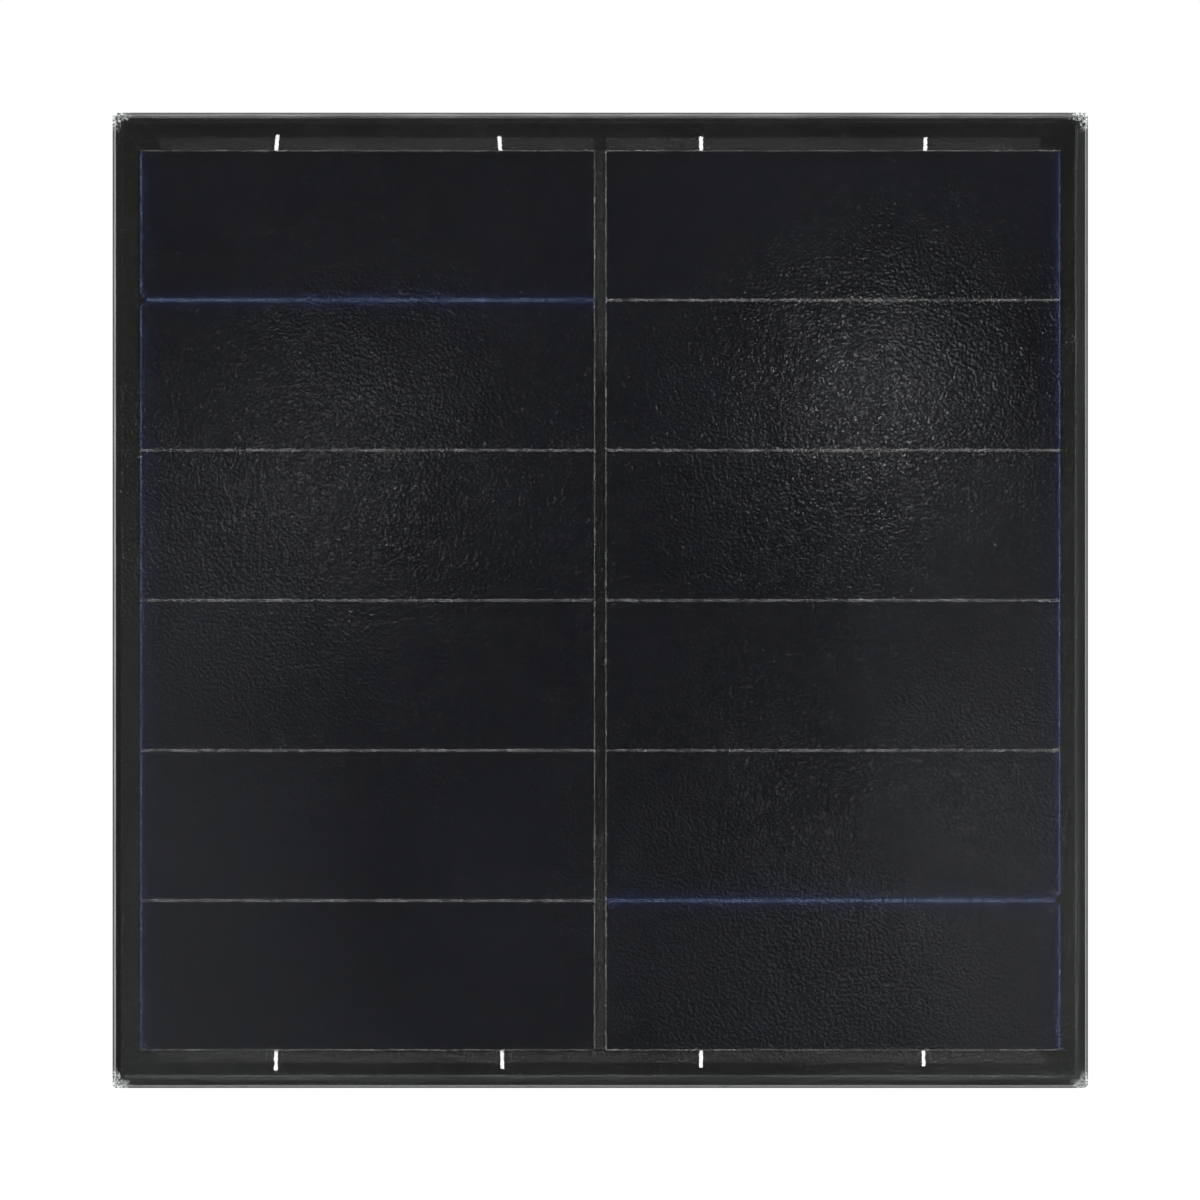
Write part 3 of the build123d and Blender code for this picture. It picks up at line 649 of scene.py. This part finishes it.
def rear_film():
    """The backsheet, with the faint relief of what lies under it: the ribbons stand up, and the gaps
    between and round the cells sink in. It is flat where the junction box is glued on."""
    (x0, y0, z0), (x1, y1, z1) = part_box("backsheet")
    n = 290
    edge_in = 0.35 * MM
    gx, gz = np.meshgrid(np.linspace(x0 + edge_in, x1 - edge_in, n), np.linspace(z0 + edge_in, z1 - edge_in, n), indexing="ij")
    mx, mz = gx / MM, gz / MM

    def step(v, a, b):
        t = np.clip((v - a) / (b - a), 0, 1)
        return t * t * (3 - 2 * t)

    def over(node, soft=0.7):
        (a0, _, c0), (a1, _, c1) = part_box(node)
        a0, a1, c0, c1 = a0 / MM, a1 / MM, c0 / MM, c1 / MM
        return (step(mx, a0 - soft, a0) * step(-mx, -a1 - soft, -a1)
                * step(mz, c0 - soft, c0) * step(-mz, -c1 - soft, -c1))

    h = np.zeros_like(mx)
    for node in ("bus_top_left", "bus_top_right", "bus_bottom"):
        h += over(node) * 0.085
    for node in ("insulation_strip_upper", "insulation_strip_lower"):
        h += over(node, 0.9) * 0.040
    for node in ("lead_negative", "lead_positive", "lead_centre_tap"):
        h = np.maximum(h, over(node, 0.6) * 0.085)
    cells = np.maximum.reduce([over(f"cell_{side}_{r}", 0.8) for side in ("left", "right") for r in range(1, 7)])
    h -= (1 - cells) * 0.055
    for k in range(-2, 3):
        h -= step(-np.abs(mz - k * 34.7), -0.9, 0.0) * 0.022 * (np.abs(mx) < 107)
    h += field(n, (x1 - x0) / MM, 7.0, 30.0, 47) * 0.005 + field(n, (x1 - x0) / MM, 2.3, 4.6, 53) * 0.0025
    # flat under the junction box
    under = step(-np.abs(mx), -36.5, -34.5) * step(-np.abs(mz), -65.5, -63.5)
    h = np.clip(h - 0.012, -0.09, 0.05) * (1 - under)
    verts = np.stack([gx, y1 + h * MM, gz], axis=-1).reshape(-1, 3)
    idx = np.arange(n * n).reshape(n, n)
    faces = np.stack([idx[:-1, :-1], idx[1:, :-1], idx[1:, 1:], idx[:-1, 1:]], axis=-1).reshape(-1, 4).tolist()
    loop = np.concatenate([idx[:-1, 0], idx[-1, :-1], idx[:0:-1, -1], idx[0, :0:-1]])
    rim = verts[loop][:, [0, 2]]
    cx, cz = (x0 + x1) / 2, (z0 + z1) / 2
    hx, hz = (x1 - x0) / 2 - edge_in, (z1 - z0) / 2 - edge_in
    all_verts, start, prev, count = [verts], n * n, loop, len(loop)
    # the cut edge: rounded over behind, square in front
    for out, y in ((0.22, y1 - 0.10 * MM), (0.33, y1 - 0.17 * MM), (0.35, y1 - 0.26 * MM), (0.35, y0 + 0.004 * MM), (-6.0, y0 + 0.004 * MM)):
        p = np.stack([cx + (rim[:, 0] - cx) * (hx + out * MM) / hx, np.full(count, y), cz + (rim[:, 1] - cz) * (hz + out * MM) / hz], 1)
        all_verts.append(p)
        now = np.arange(start, start + count)
        start += count
        faces += np.stack([prev, np.roll(prev, -1), np.roll(now, -1), now], 1).tolist()
        prev = now
    faces.append(prev.tolist())
    mesh = bpy.data.meshes.new("rear_film")
    mesh.from_pydata(np.concatenate(all_verts).tolist(), [], faces)
    mesh.update()
    bm = bmesh.new()
    bm.from_mesh(mesh)
    bmesh.ops.recalc_face_normals(bm, faces=bm.faces)
    for e in bm.edges:
        if len(e.link_faces) == 2 and e.link_faces[0].normal.angle(e.link_faces[1].normal, 0) > math.radians(60):
            e.smooth = False
    bm.to_mesh(mesh)
    bm.free()
    mesh.polygons.foreach_set("use_smooth", [len(q.vertices) == 4 for q in mesh.polygons])
    mesh.materials.append(backing.m)
    o = bpy.data.objects.new("rear_film", mesh)
    bpy.context.scene.collection.objects.link(o)
    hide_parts("backsheet")
    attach(o, "panel")
    return o


film_obj = rear_film()

# ============================================================ studio
scene = bpy.context.scene
scene.view_settings.view_transform = "Standard"
scene.view_settings.look = "None"
scene.view_settings.exposure = 0.0
scene.view_settings.gamma = 1.0


def studio_world():
    world = bpy.data.worlds.new("studio")
    scene.world = world
    world.use_nodes = True
    nt = world.node_tree
    nt.nodes.clear()
    out = nt.nodes.new("ShaderNodeOutputWorld")
    bg = nt.nodes.new("ShaderNodeBackground")
    nt.links.new(bg.outputs[0], out.inputs[0])
    tc = nt.nodes.new("ShaderNodeTexCoord")
    sep = nt.nodes.new("ShaderNodeSeparateXYZ")
    nt.links.new(tc.outputs["Generated"], sep.inputs[0])
    x, y, z = (V(nt, sep.outputs[i]) for i in range(3))

    def toward(az, el, inner, outer, gain):
        """A soft patch of light. az is degrees from -Y towards +X, el degrees up; inner and outer are its radii in degrees."""
        a, e = math.radians(az), math.radians(el)
        d = (math.sin(a) * math.cos(e), -math.cos(a) * math.cos(e), math.sin(e))
        dot = x * d[0] + y * d[1] + z * d[2]
        return dot.ramp(math.cos(math.radians(outer)), math.cos(math.radians(inner))) * gain

    room = z.ramp(-0.6, 0.9, 0.95, 1.30)
    # bright walls and ceiling on the camera's side, dark below, because a panel looked at from above
    # mirrors what is below; and the dark recess the camera looks out of
    ring = (y * -1.0).ramp(-0.10, 0.25)
    below = z.ramp(0.06, -0.18)
    room = room * (1.0 - ring * below * 0.92) + ring * (1.0 - below) * 3.3
    recess = (y * -1.0).ramp(0.50, 0.72)
    room = room * (1.0 - recess * 0.992)
    # large soft boxes for the sides and the back
    spots = toward(238, 22, 8, 18, 9.0) + toward(128, 20, 7, 16, 7.0) + toward(180, 62, 9, 24, 4.0) + toward(-80, 55, 8, 24, 0.9)
    light = room * (1.0 - y.ramp(-0.05, 0.35) * 0.52) + spots
    path = nt.nodes.new("ShaderNodeLightPath")
    seen = V(nt, path.outputs["Is Camera Ray"])
    value = light * (1.0 - seen) + seen * 1.02
    nt.links.new(value.s, bg.inputs["Strength"])
    bg.inputs["Color"].default_value = (1, 1, 1, 1)


studio_world()


def small_light(name, x, z, reach, radius, peak, spread):
    """A small round lamp out of the camera's sight. It stands where the glass mirrors it to the camera
    at x, z on the panel; reach is its distance from the glass in metres, peak its radiance, spread the
    full angle of its beam in degrees."""
    eye = Vector((0.0, -CAMERA_REACH, 0.0))
    spot = Vector((x * MM, -4.6 * MM, z * MM))
    ray = spot - eye
    ray.y = -ray.y
    place = spot + ray.normalized() * reach
    lamp = bpy.data.lights.new(name, "AREA")
    lamp.shape = "DISK"
    lamp.size = radius * 2
    lamp.spread = math.radians(spread)
    lamp.energy = peak * math.pi * math.pi * radius ** 2
    o = bpy.data.objects.new(name, lamp)
    o.location = place
    o.rotation_mode = "QUATERNION"
    o.rotation_quaternion = (spot - place).to_track_quat("-Z", "Y")
    o.visible_camera = False
    o.visible_diffuse = False
    o.visible_transmission = False
    scene.collection.objects.link(o)
    return o


CAMERA_REACH = 276.6 * MM * 150 / 36
# one small and near for the bright grain at the upper right, two further ones for the rest
small_light("lamp_right_high", 64.0, 47.0, 0.11, 0.008, 4.9, 120)
small_light("lamp_right_low", 80.0, -60.0, 0.22, 0.015, 1.7, 120)
small_light("lamp_left", -62.0, 30.0, 0.14, 0.0105, 3.0, 140)


def floor():
    """A pale floor well below the panel. It stops short of the camera's side, so the glass doesn't mirror it."""
    bm = bmesh.new()
    corners = [(-3.2, -0.42), (3.2, -0.42), (3.2, 4.0), (-3.2, 4.0)]
    bm.faces.new([bm.verts.new((x, y, 0.0)) for x, y in corners])
    mesh = bpy.data.meshes.new("floor")
    bm.to_mesh(mesh)
    bm.free()
    m = Mat("pale_floor", spec=0.1)
    c = m.noise(3.0, 3.0, 0.5)
    m.set("base", m.mix(c.ramp(0.3, 0.7), (0.80, 0.80, 0.80), (0.84, 0.84, 0.84)))
    m.set("rough", 0.9)
    mesh.materials.append(m.m)
    o = bpy.data.objects.new("floor", mesh)
    o.location = (0, 0, -0.60)
    scene.collection.objects.link(o)


floor()

cam = bpy.data.cameras.new("camera")
cam.lens = 150
cam.sensor_width = 36
cam.clip_start, cam.clip_end = 0.01, 50
cam_o = bpy.data.objects.new("camera", cam)
scene.collection.objects.link(cam_o)
# 1200 pixels across 276.6 mm at the front of the glass
width = 276.6 * MM
dist = width * cam.lens / cam.sensor_width
cam_o.location = (-0.00006, -0.0046 - dist, 0.00007)
cam_o.rotation_euler = (math.radians(90), 0, 0)
scene.camera = cam_o
